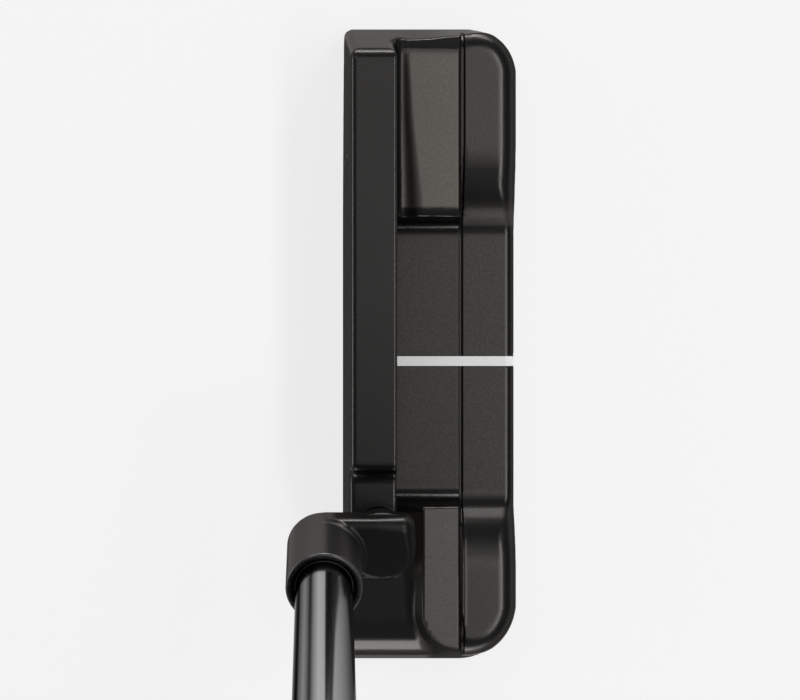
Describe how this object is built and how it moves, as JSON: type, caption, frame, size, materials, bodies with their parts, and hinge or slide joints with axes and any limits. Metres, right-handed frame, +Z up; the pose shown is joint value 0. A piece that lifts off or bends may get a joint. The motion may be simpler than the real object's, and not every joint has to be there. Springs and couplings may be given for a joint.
{
  "type": "putter",
  "caption": "Right-handed golf putter: black heel-and-toe weighted blade head with plumber's neck, white sight line, steel shaft, wrapped pistol grip and sole weights that unscrew.",
  "frame": {"origin": "on the flat middle of the sole, under the sight line, half way from leading edge to rear wall", "axes": "+X to the heel and the player, -Y the way the face looks, +Z up from the ground with the club at address"},
  "size_m": [0.3898, 0.0515, 0.8161],
  "materials": {
    "head_finish": "satin black finish on bead-blasted steel",
    "face_plate": "black anodised, finely milled",
    "adhesive": "cured two-part adhesive",
    "line_paint": "off-white paint fill",
    "weight_steel": "turned steel",
    "seal": "black rubber",
    "shaft_chrome": "polished dark chrome",
    "tape": "crepe paper tape",
    "grip_foam": "moulded underlisting",
    "grip_wrap": "textured wrap with a side seam",
    "grip_mould": "smooth moulded rubber"
  },
  "bodies": {
    "club": {"head_body": "head_finish", "face_insert": "face_plate", "insert_bond": "adhesive", "sight_line": "line_paint", "shaft": "shaft_chrome", "shaft_bond": "adhesive", "grip_tape": "tape", "grip_core": "grip_foam", "grip_skin": "grip_wrap", "grip_collar": "grip_mould", "grip_cap": "grip_mould"},
    "toe_weight_seal": {"toe_weight_seal": "seal"},
    "toe_weight": {"toe_weight": "weight_steel"},
    "heel_weight_seal": {"heel_weight_seal": "seal"},
    "heel_weight": {"heel_weight": "weight_steel"}
  },
  "joints": [
    {"name": "toe_weight_back_out", "type": "slide", "parent": "club", "child": "toe_weight_seal", "axis": [-0.102, 0, -0.9948], "range_m": [0, 0.005]},
    {"name": "toe_weight_turn", "type": "hinge", "parent": "toe_weight_seal", "child": "toe_weight", "pos_m": [-0.044, 0.003, 0.00128], "axis": [-0.102, 0, -0.9948], "range_deg": [0, 1801]},
    {"name": "heel_weight_back_out", "type": "slide", "parent": "club", "child": "heel_weight_seal", "axis": [0.0939, 0, -0.9956], "range_m": [0, 0.005]},
    {"name": "heel_weight_turn", "type": "hinge", "parent": "heel_weight_seal", "child": "heel_weight", "pos_m": [0.042, 0.003, 0.00108], "axis": [0.0939, 0, -0.9956], "range_deg": [0, 1801]}
  ],
  "couplings": [
    {"joint": "toe_weight_turn", "follows": "toe_weight_back_out", "rad_per_m": 6283.2},
    {"joint": "heel_weight_turn", "follows": "heel_weight_back_out", "rad_per_m": 6283.2}
  ]
}
